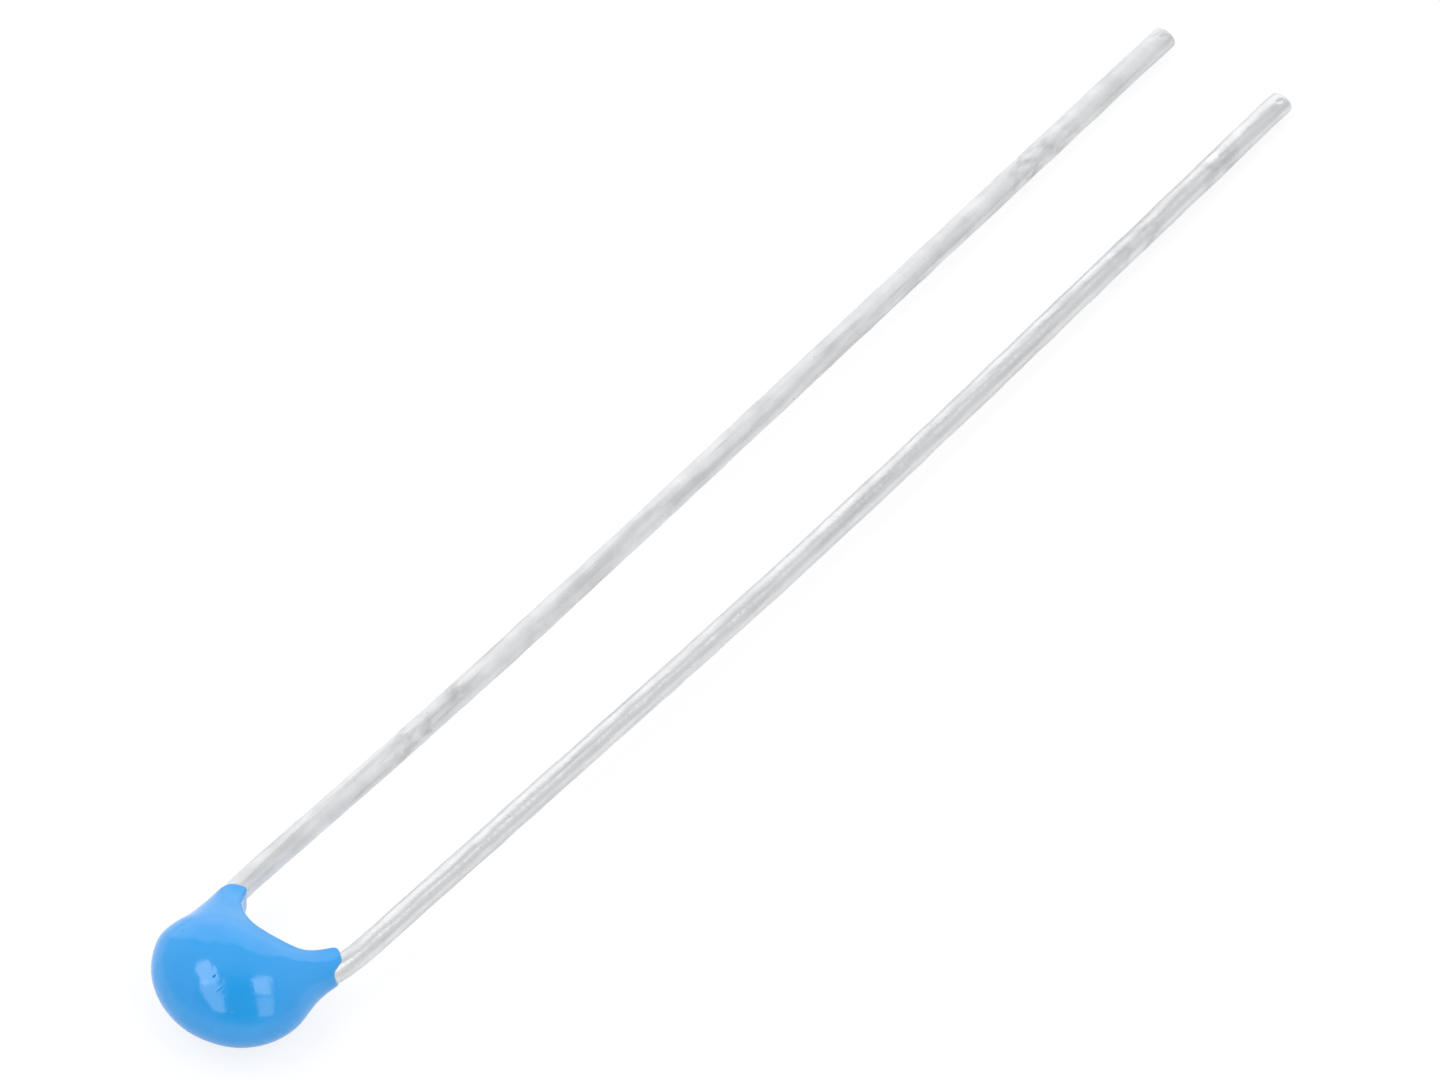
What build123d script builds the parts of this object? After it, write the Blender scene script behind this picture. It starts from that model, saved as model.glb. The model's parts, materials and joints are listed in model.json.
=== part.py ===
"""Radial-leaded multilayer ceramic capacitor with a dipped epoxy bead, lying at rest.

Millimetres, +Z up. The leads run along +Y and are one pitch apart along X. The bead rests on its
broad face and the two lead tips touch the same surface. The origin is on that surface, half way
along the part and midway between the leads.
"""

from build123d import *
import os
from math import cos, pi, radians, sin, sqrt, tan

# Leads: tinned wire, cut and slightly bent by hand, so the two differ a little
lead_pitch = 2.54  # where the leads run straight
lead_radius = 0.225
lead_tip_round = 0.10
left_lead_length = 25.42  # from the coating's rim to the tip
right_lead_length = 25.74
left_lean = 1.6  # degrees that the stretch next to the bead leans towards +X
right_lean = 0.95
left_turn = 2.1  # degrees that the long gentle bend brings the lead back
right_turn = 2.05
left_bend_at = 6.0  # from where the lead runs straight to the middle of that bend
right_bend_at = 12.6
long_bend_reach = 4.0  # from the middle of that bend to either end of it
step_radius = 1.2  # the two small bends that bring a lead's end in to the chip
step_start = 0.25  # from the chip's side to the first of them
left_toe_in = 0.0  # how much nearer the middle the lead is at the rim
right_toe_in = 0.075
lead_end_overrun = 0.06  # how far a lead's end runs past the chip

# Chip: a fired block of ceramic with two sets of electrodes and a metal cap on each end
chip_length = 1.60  # over the end caps
chip_width = 0.80
chip_thickness = 0.80
block_edge_round = 0.05
cap_wall = 0.03
cap_band = 0.35  # along the chip
electrode_count = 6  # on each side
electrode_thickness = 0.02
electrode_side_margin = 0.12  # bare ceramic beside each electrode
electrode_end_margin = 0.20  # bare ceramic between an electrode and the far end
cover_layer = 0.10  # solid ceramic above and below the stack

# Solder between each lead and its end cap
solder_film = 0.015  # where the lead comes nearest to the cap
solder_height = 0.60
solder_setback = 0.04  # from the chip's sides to the ends of the joint
solder_hollow = 0.25  # radius of its hollow flanks
solder_wetting = 110  # degrees round the lead from its outer side to the solder's edge

# Coating: one dipped bead of epoxy that climbs a little way up each lead
face_coat = 0.53  # over the chip's broad faces
end_coat = 0.86  # below the chip
top_coat = 0.66  # from the chip to the lowest place between the leads
side_film = 0.02  # outside the leads
rim_film = 0.04  # above and below the leads at the rims
left_rim_inner = 1.47  # from the bead's widest place to the slanting rim on each lead
left_rim_outer = 1.24
right_rim_inner = 1.50
right_rim_outer = 1.09
chip_set_back = 0.10  # the chip's middle lies this far below the bead's widest place
bead_lift = 0.10  # the bead's middle lies this far above the leads, at its widest place
bead_shift = -0.06  # and this far from midway between them
waist = 0.30  # share by which the bead thins between the leads, at the rim
left_neck = 0.10  # how far the bead's sides draw in between its widest place and the rims
right_neck = 0.08
notch_middle = -0.18  # the notch is lowest a little to the left
notch_left_shoulder = (-0.63, 0.20)  # from its lowest place
notch_right_shoulder = (0.80, 0.19)
notch_round = 0.18
outline_points = 28
dome_steps = 6
shoulder_steps = 6

# Worked out from the sizes above
block_length = chip_length - 2 * cap_wall
chip_side = chip_width / 2 - chip_set_back
step_from = chip_side + step_start
lead_seat = chip_length / 2 + solder_film + lead_radius
rim_half_width = lead_radius + side_film
rim_half_thickness = lead_radius + rim_film
left_rim_middle = left_toe_in - lead_pitch / 2
right_rim_middle = lead_pitch / 2 - right_toe_in
left_rim_height = (left_rim_inner + left_rim_outer) / 2
right_rim_height = (right_rim_inner + right_rim_outer) / 2
highest_rim = max(left_rim_inner, right_rim_inner)
bead_half_width = lead_pitch / 2 + rim_half_width
bead_half_thickness = chip_thickness / 2 + face_coat
bead_depth = chip_set_back + chip_width / 2 + end_coat
notch_floor = chip_side + top_coat
lead_z = bead_half_thickness - bead_lift
lead_drop = lead_z - lead_radius
tip_reach = max(left_rim_height + left_lead_length, right_rim_height + right_lead_length)
bead_y = (bead_depth - tip_reach) / 2
chip_y = bead_y - chip_set_back


def across(along, height):
    """The plane across the leads at a distance from the bead's widest place towards the tips."""
    return Plane(origin=(0, bead_y + along, height), x_dir=(1, 0, 0), z_dir=(0, -1, 0))


# Inner electrodes: two combs of thin plates, one from each end, that lie between one another
def electrode_set(side, first_layer):
    """The plates that reach one end of the block, every second layer of the stack."""
    layers = 2 * electrode_count
    layer_step = (chip_thickness - 2 * cover_layer - electrode_thickness) / (layers - 1)
    lowest = lead_z - chip_thickness / 2 + cover_layer + electrode_thickness / 2
    plate_x = side * electrode_end_margin / 2
    places = [(plate_x, chip_y, lowest + layer_step * layer) for layer in range(first_layer, layers, 2)]
    with BuildPart() as plates:
        with Locations(places):
            Box(
                block_length - electrode_end_margin,
                chip_width - 2 * electrode_side_margin,
                electrode_thickness,
            )
    return plates


left_electrodes = electrode_set(side=-1, first_layer=0)
left_electrodes.part.label = "left_electrodes"
right_electrodes = electrode_set(side=1, first_layer=1)
right_electrodes.part.label = "right_electrodes"


# Ceramic block: fired in one piece round the electrodes, its long edges rounded by tumbling
with BuildPart() as block_blank:
    with Locations((0, chip_y, lead_z)):
        Box(block_length, chip_width, chip_thickness)
    fillet(block_blank.edges().filter_by(Axis.X), block_edge_round)

with BuildPart() as ceramic_block:
    add(block_blank.part)
    add(left_electrodes.part, mode=Mode.SUBTRACT)
    add(right_electrodes.part, mode=Mode.SUBTRACT)
ceramic_block.part.label = "ceramic_block"


# End caps: fired metal over each end of the block and a short way along its sides
with BuildPart() as left_end_cap:
    with Locations(((cap_band - chip_length) / 2, chip_y, lead_z)):
        Box(cap_band, chip_width + 2 * cap_wall, chip_thickness + 2 * cap_wall)
    outer_end = left_end_cap.faces().sort_by(Axis.X)[0]
    fillet(left_end_cap.edges().filter_by(Axis.X) + outer_end.edges(), block_edge_round)
    add(block_blank.part, mode=Mode.SUBTRACT)
left_end_cap.part.label = "left_end_cap"

with BuildPart() as right_end_cap:
    mirror(left_end_cap.part, about=Plane.YZ)
right_end_cap.part.label = "right_end_cap"


# Leads: round wire that runs down the end cap, steps out to the pitch and on to a cut tip
def lead_corners(side, rim_height, toe_in, length, lean, turn, bend_at):
    """The corners of a lead's middle line, from its end on the chip to its tip."""
    step_slope = (rim_height - step_from) / (lead_pitch / 2 - toe_in - lead_seat)
    past_rim = toe_in * step_slope
    straight_length = length - past_rim
    fall = lead_drop / straight_length
    first = Vector(sin(radians(lean)), cos(radians(lean)), -fall)
    second = Vector(sin(radians(lean - turn)), cos(radians(lean - turn)), -fall)
    chip_end = Vector(side * lead_seat, bead_y + chip_side - chip_width - lead_end_overrun, lead_z)
    step_in = Vector(side * lead_seat, bead_y + step_from, lead_z)
    step_out = Vector(side * lead_pitch / 2, bead_y + rim_height + past_rim, lead_z)
    long_bend = step_out + first * bend_at
    tip = long_bend + second * (straight_length - bend_at)
    return [chip_end, step_in, step_out, long_bend, tip]


def bent_lead(side, rim_height, toe_in, length, lean, turn, bend_at):
    """One lead as a single wire, with its cut tip a little rounded."""
    corners = lead_corners(side, rim_height, toe_in, length, lean, turn, bend_at)
    long_bend_radius = long_bend_reach / tan(radians(turn / 2))
    with BuildPart() as wire:
        with BuildLine() as middle_line:
            FilletPolyline(*corners, radius=[step_radius, step_radius, long_bend_radius])
        with BuildSketch(Plane(origin=middle_line.line @ 0, z_dir=middle_line.line % 0)):
            Circle(lead_radius)
        sweep()
        tip_edge = wire.edges().filter_by(GeomType.CIRCLE).sort_by(Axis.Y)[-1]
        fillet(tip_edge, lead_tip_round)
    return wire


left_lead = bent_lead(
    side=-1,
    rim_height=left_rim_height,
    toe_in=left_toe_in,
    length=left_lead_length,
    lean=left_lean,
    turn=left_turn,
    bend_at=left_bend_at,
)
left_lead.part.label = "left_lead"

right_lead = bent_lead(
    side=1,
    rim_height=right_rim_height,
    toe_in=right_toe_in,
    length=right_lead_length,
    lean=right_lean,
    turn=right_turn,
    bend_at=right_bend_at,
)
right_lead.part.label = "right_lead"


# Solder: fills the gap between lead and end cap, with hollow flanks
with BuildPart() as right_solder:
    with BuildSketch(across(chip_side - solder_setback, lead_z)) as solder_section:
        with BuildLine():
            wetting = radians(solder_wetting)
            cap_edge = Vector(chip_length / 2, solder_height / 2)
            wire_edge = Vector(lead_seat + lead_radius * cos(wetting), lead_radius * sin(wetting))
            RadiusArc(cap_edge, wire_edge, solder_hollow)
            Line(wire_edge, (lead_seat, 0))
            Line((chip_length / 2, 0), cap_edge)
            Line((chip_length / 2, 0), (lead_seat, 0))
        make_face()
        mirror(about=Plane.XZ)
        with Locations((lead_seat, 0)):
            Circle(lead_radius, mode=Mode.SUBTRACT)
    extrude(amount=chip_width - 2 * solder_setback)
right_solder.part.label = "right_solder"

with BuildPart() as left_solder:
    mirror(right_solder.part, about=Plane.YZ)
left_solder.part.label = "left_solder"


# Coating: a bead dipped over the whole chip, whose resin has crept up both leads
def bead_outline(middle, half_width, half_thickness, squareness, thinning):
    """Points round one section of the bead: an ellipse that turns into a slot, with a waist."""
    points = []
    for step in range(outline_points):
        share = cos(2 * pi * step / outline_points)
        height = half_thickness * sqrt(1 - abs(share) ** squareness)
        height *= 1 - thinning * (1 - share**2) ** 2
        points.append((middle + half_width * share, height if step < outline_points / 2 else -height))
    return points


def bead_section(along, height, middle, half_width, half_thickness, squareness=2, thinning=0):
    """One section of the bead as a sketch."""
    outline = bead_outline(middle, half_width, half_thickness, squareness, thinning)
    with BuildSketch(across(along, height)) as section:
        with BuildLine():
            Spline(*outline, periodic=True)
        make_face()
    return section.sketch


def dome_sections():
    """Sections of the rounded end, from beside its pole to the widest place."""
    sections = []
    for step in range(1, dome_steps + 1):
        turn = pi / 2 * (1 - step / dome_steps)
        size = (bead_shift, bead_half_width * cos(turn), bead_half_thickness * cos(turn))
        sections.append(bead_section(-bead_depth * sin(turn), bead_half_thickness, *size))
    return sections


def shoulder_sections():
    """Sections from the widest place up to the rims, where the bead has narrowed to its leads."""
    side_round = bead_half_thickness**2 / bead_half_width
    sections = []
    for step in range(1, shoulder_steps + 1):
        rise = step / shoulder_steps
        ease = rise**2 * (3 - 2 * rise)
        draw_in = (4 * rise * (1 - rise)) ** 2
        left_side = left_neck * draw_in + left_toe_in * ease - bead_half_width
        right_side = bead_half_width - right_neck * draw_in - right_toe_in * ease
        middle = (left_side + right_side) / 2 + bead_shift * (1 - ease)
        half_width = (right_side - left_side) / 2
        half_thickness = bead_half_thickness + (rim_half_thickness - bead_half_thickness) * ease
        edge_round = side_round + (rim_half_thickness - side_round) * rise
        squareness = max(2, 2 * edge_round * half_width / half_thickness**2)
        height = bead_half_thickness - bead_lift * ease
        size = (middle, half_width, half_thickness, squareness, waist * ease)
        sections.append(bead_section(rise * highest_rim, height, *size))
    return sections


with BuildPart() as coating:
    pole = Vertex(bead_shift, bead_y - bead_depth, bead_half_thickness)
    loft([pole] + dome_sections() + shoulder_sections())
    with BuildSketch(Plane(origin=(0, bead_y, 0))) as notch:
        beyond = 2 * bead_half_width
        lowest = Vector(notch_middle, notch_floor)
        with BuildLine():
            floor = Spline(
                (left_rim_middle + rim_half_width, left_rim_inner),
                lowest + Vector(notch_left_shoulder),
                lowest,
                lowest + Vector(notch_right_shoulder),
                (right_rim_middle - rim_half_width, right_rim_inner),
            )
            Polyline(
                floor @ 1,
                (right_rim_middle + rim_half_width, right_rim_outer),
                (beyond, right_rim_outer),
                (beyond, 2 * highest_rim),
                (-beyond, 2 * highest_rim),
                (-beyond, left_rim_outer),
                (left_rim_middle - rim_half_width, left_rim_outer),
                floor @ 0,
            )
        make_face()
    extrude(amount=2 * bead_half_thickness, mode=Mode.SUBTRACT)
    notch_wall = coating.faces().filter_by(GeomType.EXTRUSION)[0]
    fillet(notch_wall.edges().sort_by(SortBy.LENGTH)[-2:], notch_round)
    for inner in (block_blank, left_end_cap, right_end_cap, left_solder, right_solder, left_lead, right_lead):
        add(inner.part, mode=Mode.SUBTRACT)
coating.part.label = "coating"


os.makedirs("parts", exist_ok=True)
export_step(left_electrodes.part, "parts/left_electrodes.step")
export_step(right_electrodes.part, "parts/right_electrodes.step")
export_step(ceramic_block.part, "parts/ceramic_block.step")
export_step(left_end_cap.part, "parts/left_end_cap.step")
export_step(right_end_cap.part, "parts/right_end_cap.step")
export_step(left_solder.part, "parts/left_solder.step")
export_step(right_solder.part, "parts/right_solder.step")
export_step(left_lead.part, "parts/left_lead.step")
export_step(right_lead.part, "parts/right_lead.step")
export_step(coating.part, "parts/coating.step")
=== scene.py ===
"""Radial-leaded multilayer ceramic capacitor: its finishes, its stage and its camera.

Metres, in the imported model's own frame: +Y along the leads from the bead to the tips, +X from the
left lead to the right one, +Z up from the surface that the part lies on.
"""

import json
import math

import bmesh
import bpy
from mathutils import Matrix, Quaternion, Vector, noise


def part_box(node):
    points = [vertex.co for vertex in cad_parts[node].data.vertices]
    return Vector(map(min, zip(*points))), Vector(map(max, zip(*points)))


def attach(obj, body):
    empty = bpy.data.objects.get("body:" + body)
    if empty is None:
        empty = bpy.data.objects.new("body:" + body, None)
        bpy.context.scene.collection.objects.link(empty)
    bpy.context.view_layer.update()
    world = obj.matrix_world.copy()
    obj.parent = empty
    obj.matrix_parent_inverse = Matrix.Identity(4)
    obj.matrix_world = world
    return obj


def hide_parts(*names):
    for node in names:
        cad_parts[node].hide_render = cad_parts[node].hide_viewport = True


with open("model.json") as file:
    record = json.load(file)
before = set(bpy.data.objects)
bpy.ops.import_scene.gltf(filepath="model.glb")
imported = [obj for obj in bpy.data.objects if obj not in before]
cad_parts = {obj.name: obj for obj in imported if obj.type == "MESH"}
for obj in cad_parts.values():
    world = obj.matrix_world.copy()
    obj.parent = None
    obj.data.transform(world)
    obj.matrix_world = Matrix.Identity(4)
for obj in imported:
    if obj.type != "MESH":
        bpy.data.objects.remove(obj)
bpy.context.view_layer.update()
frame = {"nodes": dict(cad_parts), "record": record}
mm = 0.001


# Ceramic block: barium titanate tape, stacked with printed electrodes, pressed, cut and fired.
# It is matt, buff and finely grained. It lies hidden in the bead, between the two end caps.
ceramic_dark = (0.50, 0.43, 0.34)
ceramic_light = (0.66, 0.59, 0.49)
ceramic_roughness = 0.72
ceramic_grain = 0.03  # grain sizes and relief depths are in millimetres throughout
ceramic_relief = 0.003
grain_span = (0.3, 0.7)  # soft noise seldom leaves these levels


def new_finish(name):
    """A new material with one Principled shader; gives the material, its tree and the shader."""
    finish = bpy.data.materials.new(name)
    finish.use_nodes = True
    return finish, finish.node_tree, finish.node_tree.nodes["Principled BSDF"]


def feed(tree, socket, value):
    """Links a socket to another node's result, or sets it to a plain value."""
    if isinstance(value, bpy.types.NodeSocket):
        tree.links.new(value, socket)
    else:
        socket.default_value = value


def add_node(tree, kind, settings=None, **inputs):
    """Adds a shader node and feeds its inputs, whose names have _ for each space."""
    made = tree.nodes.new(kind)
    for name, value in (settings or {}).items():
        setattr(made, name, value)
    for name, value in inputs.items():
        feed(tree, made.inputs[name.replace("_", " ")], value)
    return made


def place_in_mm(tree, stretch=(1, 1, 1)):
    """Object coordinates in millimetres; a pattern on them is longer where stretch is over 1."""
    coordinates = add_node(tree, "ShaderNodeTexCoord").outputs["Object"]
    scale = [1 / mm / times for times in stretch]
    return add_node(tree, "ShaderNodeMapping", Vector=coordinates, Scale=scale).outputs[0]


def grain(tree, place, size, detail=2):
    """Soft noise whose grains are about one size across, in millimetres."""
    made = add_node(tree, "ShaderNodeTexNoise", Vector=place, Scale=1 / size, Detail=detail)
    return made.outputs["Fac"]


def opaque(colour):
    """A colour, or a grey given as one number, with full cover."""
    return (*colour, 1) if isinstance(colour, tuple) else (colour, colour, colour, 1)


def ramp(tree, value, levels, colours):
    """Runs from the first of two colours or greys to the second between two levels of a value."""
    made = add_node(tree, "ShaderNodeValToRGB", Fac=value)
    for end, level, colour in zip(made.color_ramp.elements, levels, colours):
        end.position = level
        end.color = opaque(colour)
    return made.outputs["Color"]


def relief(tree, shader, height, depth):
    """Bumps the surface by a height map, whose depth is in millimetres."""
    bump = add_node(tree, "ShaderNodeBump", Height=height, Strength=1.0, Distance=depth * mm)
    tree.links.new(bump.outputs["Normal"], shader.inputs["Normal"])


def fired_ceramic():
    """Matt, finely grained buff ceramic."""
    finish, tree, shader = new_finish("fired_ceramic")
    grains = grain(tree, place_in_mm(tree), ceramic_grain, detail=4)
    buff = ramp(tree, grains, grain_span, (ceramic_dark, ceramic_light))
    feed(tree, shader.inputs["Base Color"], buff)
    shader.inputs["Roughness"].default_value = ceramic_roughness
    relief(tree, shader, grains, ceramic_relief)
    return finish


def cover(node, finish):
    """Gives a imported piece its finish."""
    for slot in frame["nodes"][node].material_slots:
        slot.material = finish


cover("ceramic_block", fired_ceramic())


# Electrodes: two combs of nickel paste, printed on the tape and fired with it inside the block.
# They are dull grey and a little porous.
pore_shade = 0.8  # how dark a pore is beside the plain metal
pore_span = (0.35, 0.65)
pore_roughness = 0.1
pore_depth = 0.002


def porous_metal(name, colour, roughness, pore_size):
    """Metal with fine pores, which are darker and rougher than the skin between them."""
    finish, tree, shader = new_finish(name)
    pores = grain(tree, place_in_mm(tree), pore_size, detail=3)
    darker = tuple(pore_shade * part for part in colour)
    shine = (roughness + pore_roughness, roughness - pore_roughness)
    feed(tree, shader.inputs["Base Color"], ramp(tree, pores, pore_span, (darker, colour)))
    feed(tree, shader.inputs["Roughness"], ramp(tree, pores, grain_span, shine))
    shader.inputs["Metallic"].default_value = 1.0
    relief(tree, shader, pores, pore_depth)
    return finish


electrode_metal = porous_metal("electrode_metal", (0.55, 0.54, 0.52), roughness=0.5, pore_size=0.02)
cover("left_electrodes", electrode_metal)
cover("right_electrodes", electrode_metal)


# End caps: the two metal ends of the block, where the electrodes come out and the leads are joined.
# Each is silver paste, dipped on and fired, then plated with nickel and tin.
end_cap_metal = porous_metal("end_cap_metal", (0.72, 0.72, 0.73), roughness=0.4, pore_size=0.05)
cover("left_end_cap", end_cap_metal)
cover("right_end_cap", end_cap_metal)


# Solder: tin alloy that fills the corner between each lead and its end cap.
# It is melted there in one pass, so it is smooth and a little frosted.
solder_metal = porous_metal("solder", (0.70, 0.71, 0.73), roughness=0.3, pore_size=0.12)
cover("left_solder", solder_metal)
cover("right_solder", solder_metal)


# Leads: steel or copper wire, hot-dipped in tin, straightened, cut with a shear and bent by hand.
# Each runs from the chip to its tip in one piece. The tin is uneven and its shine is soft.
pins = {pin["name"]: pin for pin in frame["record"]["mounts"]}
lead_radius = pins["left_lead_pin"]["dims"]["r_mm"] * mm
points_round = 28
ring_spacing = 0.16 * mm
tip_inset = 0.05 * mm  # where the first slice is taken from each end
tip_round = 0.10 * mm
tip_turns = [math.radians(angle) for angle in (0, 20, 40, 60, 75)]  # the rounded edge's rings
pinch_length = 0.45 * mm  # how much of the wire the shear squeezes
pinch_height = 0.12  # share of the wire's height that is squeezed away at the tip
pinch_spread = 0.06  # share of the wire's width that it gains there
pinch_drop = 0.6  # share of the lost height by which the tip is pressed down
shear_flat = 0.10  # share by which the upper blade presses its side further
nick_from_tip = 0.17 * mm  # a nick on top, where the blade slipped
nick_side = Vector((0.35, 0.0, 1.0)).normalized()
nick_reach = 0.065 * mm
nick_edge = 0.018 * mm
nick_depth = 0.022 * mm
tin_unevenness = 0.011 * mm
tin_wave = 0.40 * mm  # how far apart the thick and thin places are


def middle_of_slice(solid, along):
    """The middle of a packed wire's section at a place along the part."""
    everything = [*solid.verts, *solid.edges, *solid.faces]
    cut = bmesh.ops.bisect_plane(solid, geom=everything, plane_co=(0, along, 0), plane_no=(0, 1, 0))
    outline = [part.co for part in cut["geom_cut"] if isinstance(part, bmesh.types.BMVert)]
    across, up = [[point[axis] for point in outline] for axis in (0, 2)]
    return Vector(((min(across) + max(across)) / 2, along, (min(up) + max(up)) / 2))


def middle_line(node):
    """Points down the middle of a packed lead, from its foot in the bead to its tip."""
    low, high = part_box(node)
    solid = bmesh.new()
    solid.from_mesh(frame["nodes"][node].data)
    first = low.y + tip_inset
    last = high.y - tip_inset
    steps = round((last - first) / ring_spacing)
    line = [middle_of_slice(solid, first + (last - first) * step / steps) for step in range(steps + 1)]
    solid.free()
    for _ in range(3):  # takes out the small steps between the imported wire's facets
        line[1:-1] = [(line[i - 1] + line[i] * 2 + line[i + 1]) / 4 for i in range(1, len(line) - 1)]
    foot = line[0] + (line[0] - line[1]).normalized() * tip_inset
    tip = line[-1] + (line[-1] - line[-2]).normalized() * tip_inset
    return [foot, *line, tip]


def place_on(line, distance):
    """The point at a distance along a line of points, and the line's direction there."""
    for here, ahead in zip(line, line[1:]):
        length = (ahead - here).length
        if distance <= length or ahead is line[-1]:
            return here.lerp(ahead, distance / length), (ahead - here) / length
        distance -= length


def rings_along(length):
    """Where a wire's rings lie: each one's distance from the foot, and how far it is drawn in."""
    rounded = [(tip_round * (1 - math.sin(turn)), tip_round * (1 - math.cos(turn))) for turn in tip_turns]
    plain = length - 2 * tip_round
    steps = round(plain / ring_spacing)
    rings = list(reversed(rounded))
    rings += [(tip_round + plain * step / steps, 0.0) for step in range(1, steps)]
    rings += [(length - back, inset) for back, inset in rounded]
    return rings


def ease(value):
    """Runs from 0 to 1 with a soft start and end, and stays there."""
    value = min(max(value, 0.0), 1.0)
    return value * value * (3 - 2 * value)


def nick_skin(wire, middle):
    """Presses a small nick into the wire's upper skin beside a point on its middle line."""
    nick_place = middle + nick_side * lead_radius * (1 - shear_flat)
    nick = [face for face in wire.faces if (face.calc_center_median() - nick_place).length < nick_reach]
    bmesh.ops.inset_region(wire, faces=nick, thickness=nick_edge, depth=-nick_depth, use_even_offset=True)


def draw_wire(node, seed):
    """A round wire drawn along the lead's middle line, with uneven tin and a sheared tip."""
    line = middle_line(node)
    length = sum((ahead - here).length for here, ahead in zip(line, line[1:]))
    rings = rings_along(length)
    wire = bmesh.new()
    bmesh.ops.create_circle(wire, segments=points_round, radius=1.0, cap_ends=False)
    bmesh.ops.spin(
        wire,
        geom=list(wire.verts) + list(wire.edges),
        cent=(0, 0, 0),
        axis=(0, 0, 1),
        dvec=(0, 0, 1),
        angle=0.0,
        steps=len(rings) - 1,
        use_merge=False,
        use_duplicate=False,
    )
    for vertex in wire.verts:
        distance, inset = rings[round(vertex.co.z)]
        middle, ahead = place_on(line, distance)
        side = ahead.cross(Vector((0, 0, 1))).normalized()
        above = side.cross(ahead)
        wave = noise.noise(Vector((vertex.co.x, vertex.co.y, distance / tin_wave + seed)))
        radius = lead_radius - inset + tin_unevenness * wave * (0.5 if inset else 1)
        squeeze = ease(1 - (length - distance) / pinch_length)
        pressed = pinch_height + (shear_flat if vertex.co.y > 0 else 0.0)
        across = vertex.co.x * radius * (1 + pinch_spread * squeeze)
        up = vertex.co.y * radius * (1 - pressed * squeeze)
        drop = lead_radius * pinch_height * squeeze * pinch_drop
        vertex.co = middle + side * across + above * (up - drop)
    bmesh.ops.holes_fill(wire, edges=[edge for edge in wire.edges if edge.is_boundary], sides=0)
    bmesh.ops.recalc_face_normals(wire, faces=wire.faces)
    nick_skin(wire, place_on(line, length - nick_from_tip)[0])
    return wire


def new_piece(name, shape, finish, smoothing=0):
    """Turns a finished bmesh into a smooth-shaded piece, subdivided as often as asked."""
    mesh = bpy.data.meshes.new(name)
    shape.to_mesh(mesh)
    shape.free()
    mesh.shade_smooth()
    mesh.materials.append(finish)
    piece = bpy.data.objects.new(name, mesh)
    bpy.context.scene.collection.objects.link(piece)
    if smoothing:
        smooth = piece.modifiers.new("smooth", "SUBSURF")
        smooth.levels = smooth.render_levels = smoothing
    return piece


tin_tint = (0.985, 1.0, 1.02)
dull_shade = 0.945  # how dark the dull clouds in the tin are beside the bright ones
streak_colour = (0.50, 0.50, 0.505)
streak_levels = (0.50, 0.64)
streak_strength = 0.45
stain_levels = (0.46, 0.66)
stain_anywhere = 0.12  # how strong a stain is, away from the stained places
stain_in_places = 0.42  # and what it gains there
stain_fade = (0.4, 1.0)  # shares of a stained place's reach between which it fades
speck_colour = (0.45, 0.44, 0.43)
speck_levels = (0.72, 0.79)
speck_strength = 0.5
ripple_height = 0.12  # height of a ripple beside a run of tin
tin_relief = 0.007


def mixed_colour(tree, share, under, over):
    """One colour laid over another by a share; the upper one may be a single grey."""
    made = add_node(tree, "ShaderNodeMix", {"data_type": "RGBA"}, Factor=share, A=under, B=opaque(over))
    return made.outputs["Result"]


def reckon(tree, operation, *values):
    """One step of arithmetic in a node tree, on numbers and other nodes' results."""
    made = add_node(tree, "ShaderNodeMath", {"operation": operation})
    for socket, value in zip(made.inputs, values):
        feed(tree, socket, value)
    return made.outputs[0]


def near_places(tree, place, places):
    """One close to any of some places along the wires, given with their reach, and nothing elsewhere."""
    along = add_node(tree, "ShaderNodeSeparateXYZ", Vector=place).outputs["Y"]
    nearest = None
    for centre, reach in places:
        apart = reckon(tree, "ABSOLUTE", reckon(tree, "SUBTRACT", along, centre))
        share = ramp(tree, reckon(tree, "DIVIDE", apart, reach), stain_fade, (1.0, 0.0))
        nearest = reckon(tree, "MAXIMUM", nearest, share) if nearest else share
    return nearest


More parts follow.
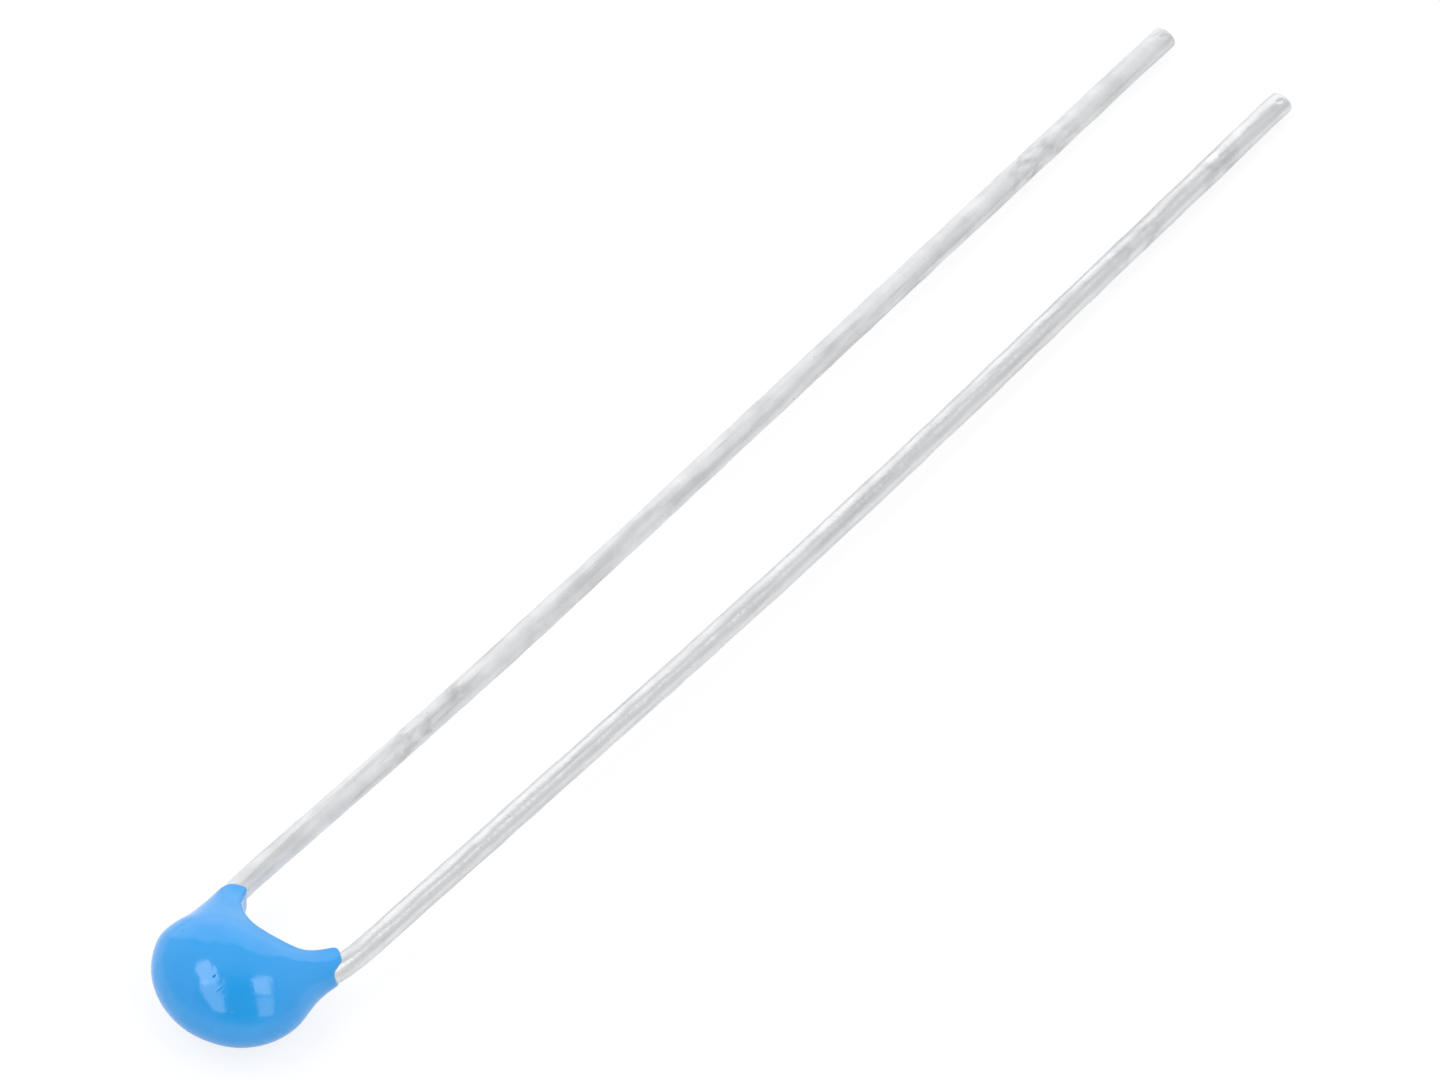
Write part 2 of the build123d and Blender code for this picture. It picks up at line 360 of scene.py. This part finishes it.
def tinned_wire(name, lightness, dullest, brightest, stain, stained_places):
    """Soft-shining tin with dull streaks, stains and specks, and a skin of runs and ripples."""
    finish, tree, shader = new_finish(name)
    place = place_in_mm(tree)
    clouds = grain(tree, place, size=0.6, detail=3)
    streaks = grain(tree, place_in_mm(tree, stretch=(1, 18, 1)), size=0.16, detail=3)
    stains = grain(tree, place_in_mm(tree, stretch=(1, 1.7, 1)), size=0.26, detail=6)
    specks = grain(tree, place, size=0.07, detail=1)
    ripples = grain(tree, place_in_mm(tree, stretch=(14, 0.5, 14)), size=1.0, detail=3)
    runs = grain(tree, place_in_mm(tree, stretch=(1, 0.7, 1)), size=0.15, detail=2)
    bright = tuple(part * lightness for part in tin_tint)
    dull = tuple(part * dull_shade for part in bright)
    tin = ramp(tree, clouds, grain_span, (dull, bright))
    streak_share = ramp(tree, streaks, streak_levels, (0.0, streak_strength))
    streaked = mixed_colour(tree, streak_share, tin, streak_colour)
    in_places = near_places(tree, place, stained_places)
    stain_strength = reckon(tree, "MULTIPLY_ADD", in_places, stain_in_places, stain_anywhere)
    stain_share = reckon(tree, "MULTIPLY", ramp(tree, stains, stain_levels, (0.0, 1.0)), stain_strength)
    stained = mixed_colour(tree, stain_share, streaked, stain)
    speck_share = ramp(tree, specks, speck_levels, (0.0, speck_strength))
    specked = mixed_colour(tree, speck_share, stained, speck_colour)
    feed(tree, shader.inputs["Base Color"], specked)
    feed(tree, shader.inputs["Roughness"], ramp(tree, clouds, grain_span, (dullest, brightest)))
    shader.inputs["Metallic"].default_value = 1.0
    relief(tree, shader, reckon(tree, "MULTIPLY_ADD", ripples, ripple_height, runs), tin_relief)
    return finish


left_tin = tinned_wire(
    "tin_on_left_wire",
    lightness=0.775,
    dullest=0.68,
    brightest=0.54,
    stain=(0.40, 0.395, 0.385),
    stained_places=[(-6.9, 0.7), (-5.6, 0.3), (10.3, 1.1)],
)
right_tin = tinned_wire(
    "tin_on_right_wire",
    lightness=0.71,
    dullest=0.42,
    brightest=0.27,
    stain=(0.42, 0.44, 0.46),
    stained_places=[(9.9, 0.9), (12.2, 0.7)],
)
for side, seed, tin in (("left", 3.0, left_tin), ("right", 11.0, right_tin)):
    lead = new_piece(side + "_wire", draw_wire(side + "_lead", seed), tin, smoothing=1)
    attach(lead, "root")
    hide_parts(side + "_lead")


# Coating: blue epoxy resin. The chip is dipped tip down with its leads up, so the resin hangs as a
# bead, creeps a little way up each lead, and dries with a rounded notch between them.
body_half_width = 1.515 * mm
body_half_thickness = 0.93 * mm
dome_depth = 1.36 * mm
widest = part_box("coating")[0].y + dome_depth  # where the dome ends and the shoulders begin
tallest_rim = 1.50 * mm  # over the widest place
rim_half_thickness = 0.265 * mm
drop_at_rims = 0.10 * mm  # how far the rims' middle lies under the body's
shift_of_body = -0.06 * mm
left_neck = 0.10 * mm  # how far each shoulder is drawn in
right_neck = 0.08 * mm
right_toe_in = 0.075 * mm
left_slope = 0.085 * mm  # how far the left shoulder falls away inside the ball's own line
left_slope_middle = 0.22 * mm
left_slope_reach = 0.62 * mm
fill_between_legs = 0.20  # share of the thickness that is added between the leads
notch_rounding = 0.05 * mm
rim_rounding = 0.03 * mm
rounding_at_rims = 0.3  # share of the way to the notch's rounding where the notch begins
rounding_change = 0.30  # millimetres of the notch over which the rest would be reached
# the upper edge in millimetres, as it is seen from the broad side: left rim, notch, right rim
left_rim = [(-1.515, 0.84), (-1.44, 1.08), (-1.30, 1.28), (-1.025, 1.47)]
notch = [(-1.025, 1.47), (-0.83, 1.09), (-0.18, 0.750), (0.63, 0.965), (0.95, 1.49)]
right_rim = [(0.95, 1.49), (1.44, 1.09)]
# on top of the leads the rims are ragged
left_rim_on_top = [
    (-1.515, 0.84),
    (-1.46, 0.91),
    (-1.42, 1.05),
    (-1.385, 1.25),
    (-1.31, 1.37),
    (-1.10, 1.46),
    (-1.025, 1.47),
]
right_rim_on_top = [
    (0.95, 1.49),
    (1.02, 1.53),
    (1.10, 1.49),
    (1.19, 1.43),
    (1.245, 1.36),
    (1.275, 1.17),
    (1.36, 1.06),
    (1.44, 1.05),
]
side_blend = 0.3  # how near the middle plane a rim changes from its upper to its lower line
bead_points_round = 144
dome_turns = [math.radians(angle) for angle in (-88.5, -86, -82, -77, *range(-72, 1, 4))]
shoulder_courses = 22
edge_turns = [math.radians(angle) for angle in (22, 45, 67, 90)]
wall_courses = (0.6, 0.3, 0.0)  # shares of the thickness left on the courses that close the edge
resin_swell = 0.010 * mm
swell_size = 0.55 * mm
least_swell = 1.2  # more than the noise can take away, so the skin swells outwards everywhere
# small faults in the skin: where their faces lie, the margin kept flat, the slope's width, the height
blemishes = [
    ([(0.06, -0.71)], 0.010, 0.012, -0.028),
    ([(0.29, -0.85), (0.28, -0.73)], 0.012, 0.012, 0.005),
    ([(1.38, -0.28)], 0.006, 0.012, 0.014),
    ([(-1.02, -0.26)], 0.008, 0.012, 0.010),
    ([(0.70, -0.95)], 0.010, 0.012, 0.008),
    ([(-0.55, 0.35)], 0.010, 0.012, 0.008),
]


def run_through(points, across):
    """Height and slope of a smooth line through points, at a place across it."""
    slopes = []
    for here in range(len(points)):
        before = points[max(here - 1, 0)]
        after = points[min(here + 1, len(points) - 1)]
        slopes.append((after[1] - before[1]) / (after[0] - before[0]))
    for here in range(len(points) - 1):
        (x0, y0), (x1, y1) = points[here], points[here + 1]
        if across <= x1 or here == len(points) - 2:
            width = x1 - x0
            part = (across - x0) / width
            rise = y0 + (y1 - y0) * part
            bend0 = slopes[here] * width - (y1 - y0)
            bend1 = slopes[here + 1] * width - (y1 - y0)
            height = rise + part * (1 - part) * ((1 - part) * bend0 - part * bend1)
            steeper0 = bend0 * (1 - 4 * part + 3 * part**2)
            steeper1 = bend1 * (2 * part - 3 * part**2)
            return height, (y1 - y0 + steeper0 - steeper1) / width


def upper_edge(across, on_top):
    """Height of the bead's upper edge over its widest place, and how steep it is there."""
    across = across / mm
    if across < notch[0][0]:
        height, slope = run_through(left_rim, across)
        height += on_top * (run_through(left_rim_on_top, across)[0] - height)
    elif across < notch[-1][0]:
        height, slope = run_through(notch, across)
    else:
        height, slope = run_through(right_rim, across)
        height += on_top * (run_through(right_rim_on_top, across)[0] - height)
    return height * mm, math.sqrt(1 + slope * slope)


def rounding_at(across):
    """How far the upper edge is rounded: well in the notch, and hardly at the rims on the leads."""
    inside = min(across / mm - notch[0][0], notch[-1][0] - across / mm)
    share = ease(inside / rounding_change + rounding_at_rims)
    return rim_rounding + (notch_rounding - rim_rounding) * share


def fall_away(above):
    """How far the left side lies inside the plain line at a height over the widest place."""
    part = min(abs(above - left_slope_middle) / left_slope_reach, 1.0)
    return left_slope * (1 + math.cos(math.pi * part)) / 2


def plain_section_point(above, turn):
    """A point of the bead's outline at a height over its widest place, with a full left shoulder."""
    share = math.cos(turn)
    side = 1 if math.sin(turn) >= 0 else -1
    if above <= 0:
        fill = math.sqrt(max(0.0, 1 - (above / dome_depth) ** 2))
        up = math.sqrt(max(0.0, 1 - share * share))
        across = shift_of_body + body_half_width * fill * share
        return across, body_half_thickness * (1 + side * fill * up)
    rise = min(above / tallest_rim, 1.0)
    eased = ease(rise)
    drawn_in = (4 * rise * (1 - rise)) ** 2
    left_side = left_neck * drawn_in - body_half_width
    right_side = body_half_width - right_neck * drawn_in - right_toe_in * eased
    middle = (left_side + right_side) / 2 + shift_of_body * (1 - eased)
    half_width = (right_side - left_side) / 2
    thickness = body_half_thickness + (rim_half_thickness - body_half_thickness) * eased
    side_round = body_half_thickness**2 / body_half_width
    round_here = side_round + (rim_half_thickness - side_round) * rise
    squareness = max(2.0, 2 * round_here * half_width / thickness**2)
    up = math.sqrt(max(0.0, 1 - abs(share) ** squareness))
    filled = 1 + fill_between_legs * eased * (1 - share * share) ** 3
    middle_height = body_half_thickness - drop_at_rims * eased
    return middle + half_width * share, middle_height + side * thickness * up * filled


def section_point(above, turn):
    """The same point, once the left shoulder has fallen away."""
    across, up = plain_section_point(above, turn)
    return across + fall_away(above) * max(0.0, -math.cos(turn)) ** 2, up


def dome_point(turn, tilt):
    """A point of the bead's skin on a course of the dome, at a tilt from the widest place."""
    above = dome_depth * math.sin(tilt)
    across, up = section_point(above, turn)
    return across, above, up


def coat_point(turn, level, drop, inset, flatten):
    """A point of the bead's skin on a course above the widest place.

    The level is a share of the way to the upper edge. Drop and inset are shares of the edge's
    rounding, down and inwards, and flatten is the share of the thickness that is left.
    """
    above = level * mm
    nudge = 0.01
    upper_side = max(-1.0, min(1.0, math.sin(turn) / side_blend))
    for _ in range(10):  # each pass goes half of the way to the course's own height
        across, up = section_point(above, turn)
        rounding = rounding_at(across)
        if inset:
            before = section_point(above, turn - nudge)
            after = section_point(above, turn + nudge)
            run = after[0] - before[0]
            climb = after[1] - before[1]
            size = math.hypot(run, climb) / (inset * rounding)
            across -= climb / size
            up += run / size
        edge, steepness = upper_edge(across, ease(0.5 + 0.5 * flatten * upper_side))
        above += (level * (edge - drop * rounding * steepness) - above) / 2
    middle = body_half_thickness - drop_at_rims * ease(above / tallest_rim)
    return across, above, middle + (up - middle) * flatten


def bead_courses():
    """The bead's courses from its closed end to its upper edge, each with what shapes its points."""
    courses = [(dome_point, (tilt,)) for tilt in dome_turns]
    for step in range(1, shoulder_courses + 1):
        courses.append((coat_point, (step / shoulder_courses, 1.0, 0.0, 1.0)))
    for turn in edge_turns:
        courses.append((coat_point, (1.0, 1 - math.sin(turn), 1 - math.cos(turn), 1.0)))
    for share in wall_courses:
        courses.append((coat_point, (1.0, 0.0, 1.0, share)))
    return courses


def skin_at(bead, across, above):
    """The face on the upper side of the bead that is nearest to a place on its plan."""
    place = Vector((across * mm, widest + above * mm, 0))
    upper = [face for face in bead.faces if face.normal.z > 0.1]
    return min(upper, key=lambda face: (face.calc_center_median() * Vector((1, 1, 0)) - place).length)


def add_blemishes(bead):
    """Presses in or lifts a few faces, each inside a flat margin and a slope."""
    for places, margin, slope, height in blemishes:
        faces = [skin_at(bead, *place) for place in places]
        for width in (margin, slope):
            bmesh.ops.inset_region(bead, faces=faces, thickness=width * mm, depth=0.0, use_even_offset=True)
        moved = {corner for face in faces for corner in face.verts}
        bmesh.ops.translate(bead, verts=list(moved), vec=faces[0].normal * (height * mm))


def dip_coat():
    """The bead: a ball whose courses follow the dome, the shoulders, the rounded edge and the notch."""
    courses = bead_courses()
    bands = len(courses) + 1
    bead = bmesh.new()
    bmesh.ops.create_uvsphere(bead, u_segments=bead_points_round, v_segments=bands, radius=1.0)
    bead.verts.remove(max(bead.verts, key=lambda vertex: vertex.co.z))
    for vertex in bead.verts:
        latitude = math.asin(max(-1.0, min(1.0, vertex.co.z)))
        course = round((latitude + math.pi / 2) * bands / math.pi)
        if course == 0:
            across, above, up = shift_of_body, -dome_depth, body_half_thickness
        else:
            shape_point, how = courses[course - 1]
            across, above, up = shape_point(math.atan2(vertex.co.y, vertex.co.x), *how)
        vertex.co = Vector((across, widest + above, up))
    # the last course has no thickness, so its upper and lower points meet and close the skin
    bmesh.ops.remove_doubles(bead, verts=bead.verts, dist=0.0001 * mm)
    bmesh.ops.recalc_face_normals(bead, faces=bead.faces)
    bead.normal_update()
    for vertex in bead.verts:
        swell = noise.noise(vertex.co / swell_size)
        vertex.co += vertex.normal * (resin_swell * (swell + least_swell))
        vertex.co.z = max(vertex.co.z, 0.0)
    add_blemishes(bead)
    return bead


epoxy_colours = ((0.008, 0.328, 0.818), (0.014, 0.352, 0.850))
epoxy_roughness = (0.10, 0.15)
epoxy_gloss = 1.6  # refractive index
epoxy_relief = 0.006
pale_speck = (0.10, 0.47, 0.92)
pale_speck_levels = (0.72, 0.78)
pale_speck_strength = 0.35


def blue_epoxy():
    """Glossy resin: slightly uneven colour, a faint orange peel, and a few specks in the skin."""
    finish, tree, shader = new_finish("blue_epoxy")
    place = place_in_mm(tree)
    clouds = grain(tree, place, size=0.8, detail=3)
    specks = grain(tree, place, size=0.055, detail=1)
    peel = grain(tree, place, size=0.22, detail=2)
    resin = ramp(tree, clouds, grain_span, epoxy_colours)
    speck_share = ramp(tree, specks, pale_speck_levels, (0.0, pale_speck_strength))
    feed(tree, shader.inputs["Base Color"], mixed_colour(tree, speck_share, resin, pale_speck))
    feed(tree, shader.inputs["Roughness"], ramp(tree, clouds, grain_span, epoxy_roughness))
    shader.inputs["IOR"].default_value = epoxy_gloss
    relief(tree, shader, peel, epoxy_relief)
    return finish


coat = new_piece("epoxy_bead", dip_coat(), blue_epoxy(), smoothing=1)
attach(coat, "root")
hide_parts("coating")


# Stage: white paper under the part, in a pale room that is darker behind the camera and has a white
# board at its far side. Four soft panes of light stand round the bead.
floor_half_width = 1.5
paper_white = 0.80
paper_for_camera = 0.25  # darker there, because its own glow is added and the shadow stays pale
glow_for_camera = 0.79
glow_in_mirrors = 0.30
wall_white = 0.86
opening_grey = 0.27
opening_around = -49.5
opening_above = 54
opening_edge = (0.62, 0.88)  # levels of facing between which the wall turns into the opening
board_around = 130
board_wide = 0.95
board_tall = 1.5
board_edge = (0.0, 0.03)
board_white = 1.45
gap_grey = 0.5
gap_from_board = 0.025  # a thin grey ring runs round the board, this far outside it
gap_edge = (0.01, 0.035)
pane_distance = 0.5


def white_floor():
    """White paper, which glows up to plain white for the camera and a little in reflections."""
    finish, tree, shader = new_finish("white_floor")
    tree.nodes.remove(shader)
    path = add_node(tree, "ShaderNodeLightPath")
    for_camera = path.outputs["Is Camera Ray"]
    shade = ramp(tree, for_camera, (0.0, 1.0), (paper_white, paper_for_camera))
    paper = add_node(tree, "ShaderNodeBsdfDiffuse", Color=shade)
    glossy = path.outputs["Is Glossy Ray"]
    mirrored = reckon(tree, "MAXIMUM", glossy, path.outputs["Is Transmission Ray"])
    in_mirrors = reckon(tree, "MULTIPLY", mirrored, glow_in_mirrors)
    strength = reckon(tree, "MULTIPLY_ADD", for_camera, glow_for_camera, in_mirrors)
    glow = add_node(tree, "ShaderNodeEmission", Strength=strength)
    lit = add_node(tree, "ShaderNodeAddShader")
    feed(tree, lit.inputs[0], paper.outputs[0])
    feed(tree, lit.inputs[1], glow.outputs[0])
    feed(tree, tree.nodes["Material Output"].inputs["Surface"], lit.outputs[0])
    return finish


floor_shape = bmesh.new()
bmesh.ops.create_grid(floor_shape, x_segments=1, y_segments=1, size=floor_half_width)
floor = new_piece("floor", floor_shape, white_floor())


def direction(around, above):
    """A unit vector: degrees round from +X, and degrees over the floor."""
    around = math.radians(around)
    above = math.radians(above)
    return Vector((math.cos(around) * math.cos(above), math.sin(around) * math.cos(above), math.sin(above)))


def facing(tree, room, towards):
    """How far a direction in the room points towards another one."""
    made = add_node(tree, "ShaderNodeVectorMath", {"operation": "DOT_PRODUCT"})
    feed(tree, made.inputs[0], room)
    feed(tree, made.inputs[1], towards)
    return made.outputs["Value"]


def studio():
    """A pale room with a darker opening behind the camera and an oval white board on the far side."""
    world = bpy.data.worlds.new("studio")
    world.use_nodes = True
    tree = world.node_tree
    room = add_node(tree, "ShaderNodeTexCoord").outputs["Generated"]
    opening = facing(tree, room, direction(opening_around, opening_above))
    walls = ramp(tree, opening, opening_edge, (wall_white, opening_grey))
    ahead = facing(tree, room, direction(board_around, 0))
    sideways = facing(tree, room, direction(board_around + 90, 0) / board_wide)
    upwards = facing(tree, room, (0, 0, 1 / board_tall))
    upwards_squared = reckon(tree, "MULTIPLY", upwards, upwards)
    from_middle = reckon(tree, "SQRT", reckon(tree, "MULTIPLY_ADD", sideways, sideways, upwards_squared))
    inside = reckon(tree, "SUBTRACT", ahead, from_middle)
    from_gap = reckon(tree, "ABSOLUTE", reckon(tree, "ADD", inside, gap_from_board))
    with_gap = mixed_colour(tree, ramp(tree, from_gap, gap_edge, (1.0, 0.0)), walls, gap_grey)
    with_board = mixed_colour(tree, ramp(tree, inside, board_edge, (0.0, 1.0)), with_gap, board_white)
    for_camera = add_node(tree, "ShaderNodeLightPath").outputs["Is Camera Ray"]
    feed(tree, tree.nodes["Background"].inputs["Color"], mixed_colour(tree, for_camera, with_board, 1.0))
    return world


bpy.context.scene.world = studio()


def soft_pane(name, around, above, roll, wide, tall, radiance):
    """A lamp behind white cloth, aimed at the bead; its sides are given for a distance of one."""
    lamp = bpy.data.lights.new(name, "AREA")
    lamp.shape = "RECTANGLE"
    lamp.size = wide * pane_distance
    lamp.size_y = tall * pane_distance
    lamp.energy = radiance * math.pi * lamp.size * lamp.size_y
    stand = bpy.data.objects.new(name, lamp)
    bpy.context.scene.collection.objects.link(stand)
    towards = direction(around, above)
    stand.location = Vector((0, widest, body_half_thickness)) + towards * pane_distance
    aim = towards.to_track_quat("Z", "Y") @ Quaternion((0, 0, 1), math.radians(roll))
    stand.rotation_euler = aim.to_euler()
    stand.visible_camera = False


soft_pane("left_upper_pane", around=-145, above=63, roll=19, wide=0.38, tall=0.27, radiance=2.7)
soft_pane("left_lower_pane", around=-95, above=49.5, roll=42, wide=0.32, tall=0.78, radiance=1.9)
soft_pane("right_upper_pane", around=22, above=64, roll=-57, wide=0.33, tall=0.38, radiance=2.6)
soft_pane("right_lower_pane", around=-10, above=39, roll=-24, wide=0.34, tall=0.62, radiance=1.6)


# Camera: a long lens that looks down on the part over the bead's closed end.
# It stands far off for so small a part, so the view has hardly any perspective.
turned = math.radians(40.46)  # how far the camera stands round from the line of the leads
tilted = math.radians(54)  # and over the floor
camera_roll = math.radians(0.20)
view_distance = 0.85
view_width = 25.48 * mm  # what the frame spans at that distance
aim_rightwards = 0.134 * mm  # where the middle of the frame lies beside the part's own middle
aim_upwards = 0.336 * mm
rightwards = Vector((math.cos(turned), math.sin(turned), 0))
back_along_floor = Vector((math.sin(turned), -math.cos(turned), 0))
backwards = back_along_floor * math.cos(tilted) + Vector((0, 0, math.sin(tilted)))
upwards = backwards.cross(rightwards)
lens = bpy.data.cameras.new("camera")
lens.sensor_width = 36
lens.lens = lens.sensor_width * view_distance / view_width
lens.clip_start = 0.01
lens.clip_end = 10
camera = bpy.data.objects.new("camera", lens)
bpy.context.scene.collection.objects.link(camera)
level = Matrix((rightwards, upwards, backwards)).transposed()
camera.rotation_euler = (Quaternion(backwards, camera_roll).to_matrix() @ level).to_euler()
camera.location = rightwards * aim_rightwards + upwards * aim_upwards + backwards * view_distance
bpy.context.scene.camera = camera
bpy.context.scene.view_settings.view_transform = "Standard"
